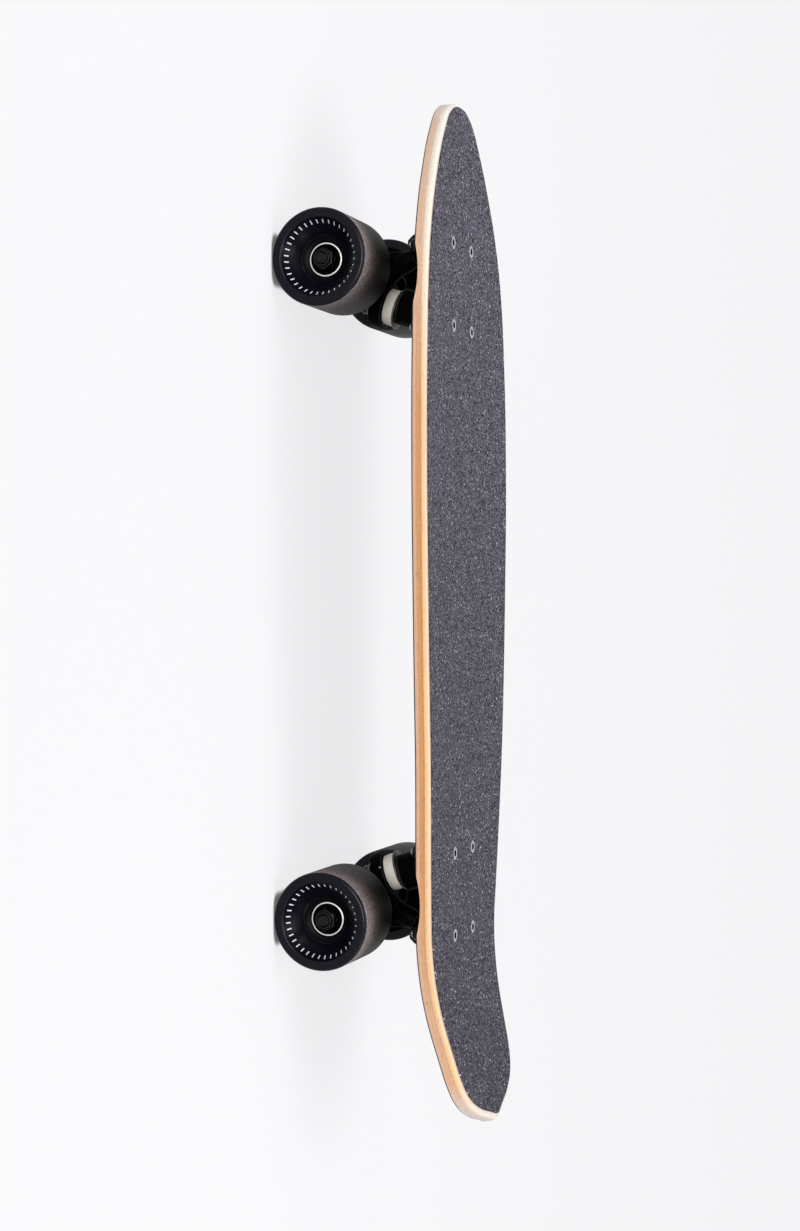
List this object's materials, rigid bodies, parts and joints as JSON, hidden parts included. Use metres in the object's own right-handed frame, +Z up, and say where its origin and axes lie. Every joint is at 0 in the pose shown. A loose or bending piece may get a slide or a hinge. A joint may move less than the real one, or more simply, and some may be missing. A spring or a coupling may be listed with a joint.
{
  "type": "cruiser skateboard",
  "caption": "Short wooden cruiser board with a pointed nose, kicked tail and griptape, on sprung steering trucks with soft dished wheels that roll on bearings.",
  "frame": {"origin": "on the floor, under the middle of the deck", "axes": "+X points to the nose, +Y to the left of someone who faces the nose, +Z up; the board stands on its wheels"},
  "size_m": [0.6733, 0.189, 0.1226],
  "materials": {
    "maple_ply": "clear-coated maple ply with one stained layer",
    "grit": "coarse grit",
    "bolt_steel": "zinc-plated",
    "black_steel": "black oxide",
    "black_casting": "satin black powder coat",
    "cup_plastic": "moulded",
    "washer_steel": "pressed, dull",
    "cream_urethane": "cast, satin",
    "black_urethane": "cast, satin",
    "wheel_urethane": "satin tread and glossy dish",
    "bearing_steel": "polished race and dark shield"
  },
  "bodies": {
    "board": {"deck": "maple_ply", "griptape": "grit", "front_deck_bolt_1": "bolt_steel", "front_deck_bolt_2": "bolt_steel", "front_deck_bolt_3": "bolt_steel", "front_deck_bolt_4": "bolt_steel", "rear_deck_bolt_1": "bolt_steel", "rear_deck_bolt_2": "bolt_steel", "rear_deck_bolt_3": "bolt_steel", "rear_deck_bolt_4": "bolt_steel", "front_locknut_1": "black_steel", "front_locknut_2": "black_steel", "front_locknut_3": "black_steel", "front_locknut_4": "black_steel", "rear_locknut_1": "black_steel", "rear_locknut_2": "black_steel", "rear_locknut_3": "black_steel", "rear_locknut_4": "black_steel", "front_baseplate": "black_casting", "front_pivot_cup": "cup_plastic", "front_kingpin": "black_steel", "front_kingpin_nut": "black_steel", "front_upper_cup_washer": "washer_steel", "front_lower_cup_washer": "washer_steel", "front_upper_bushing": "cream_urethane", "front_lower_bushing": "black_urethane", "rear_baseplate": "black_casting", "rear_pivot_cup": "cup_plastic", "rear_kingpin": "black_steel", "rear_kingpin_nut": "black_steel", "rear_upper_cup_washer": "washer_steel", "rear_lower_cup_washer": "washer_steel", "rear_upper_bushing": "cream_urethane", "rear_lower_bushing": "black_urethane"},
    "front_turning_axle": {"front_hanger": "black_casting", "front_axle": "bolt_steel", "front_left_speed_washer": "washer_steel", "front_left_axle_nut": "black_steel", "front_right_speed_washer": "washer_steel", "front_right_axle_nut": "black_steel"},
    "rear_turning_axle": {"rear_hanger": "black_casting", "rear_axle": "bolt_steel", "rear_left_speed_washer": "washer_steel", "rear_left_axle_nut": "black_steel", "rear_right_speed_washer": "washer_steel", "rear_right_axle_nut": "black_steel"},
    "front_left_roller": {"front_left_wheel": "wheel_urethane", "front_left_outer_bearing": "bearing_steel", "front_left_inner_bearing": "bearing_steel"},
    "front_right_roller": {"front_right_wheel": "wheel_urethane", "front_right_outer_bearing": "bearing_steel", "front_right_inner_bearing": "bearing_steel"},
    "rear_left_roller": {"rear_left_wheel": "wheel_urethane", "rear_left_outer_bearing": "bearing_steel", "rear_left_inner_bearing": "bearing_steel"},
    "rear_right_roller": {"rear_right_wheel": "wheel_urethane", "rear_right_outer_bearing": "bearing_steel", "rear_right_inner_bearing": "bearing_steel"}
  },
  "joints": [
    {"name": "front_steering", "type": "hinge", "parent": "board", "child": "front_turning_axle", "pos_m": [0.2415, 0, 0.0755], "axis": [0.7386, 0, 0.6742], "range_deg": [-15, 15], "stiffness_Nm_per_rad": 25, "deforming": ["front_upper_bushing", "front_lower_bushing"]},
    {"name": "rear_steering", "type": "hinge", "parent": "board", "child": "rear_turning_axle", "pos_m": [-0.2105, 0, 0.0755], "axis": [-0.7386, 0, 0.6742], "range_deg": [-15, 15], "stiffness_Nm_per_rad": 25, "deforming": ["rear_upper_bushing", "rear_lower_bushing"]},
    {"name": "front_left_roll", "type": "hinge", "parent": "front_turning_axle", "child": "front_left_roller", "pos_m": [0.2265, 0.067, 0.0315], "axis": [0, 1, 0], "continuous": true},
    {"name": "front_right_roll", "type": "hinge", "parent": "front_turning_axle", "child": "front_right_roller", "pos_m": [0.2265, -0.067, 0.0315], "axis": [0, 1, 0], "continuous": true},
    {"name": "rear_left_roll", "type": "hinge", "parent": "rear_turning_axle", "child": "rear_left_roller", "pos_m": [-0.1955, 0.067, 0.0315], "axis": [0, 1, 0], "continuous": true},
    {"name": "rear_right_roll", "type": "hinge", "parent": "rear_turning_axle", "child": "rear_right_roller", "pos_m": [-0.1955, -0.067, 0.0315], "axis": [0, 1, 0], "continuous": true}
  ]
}
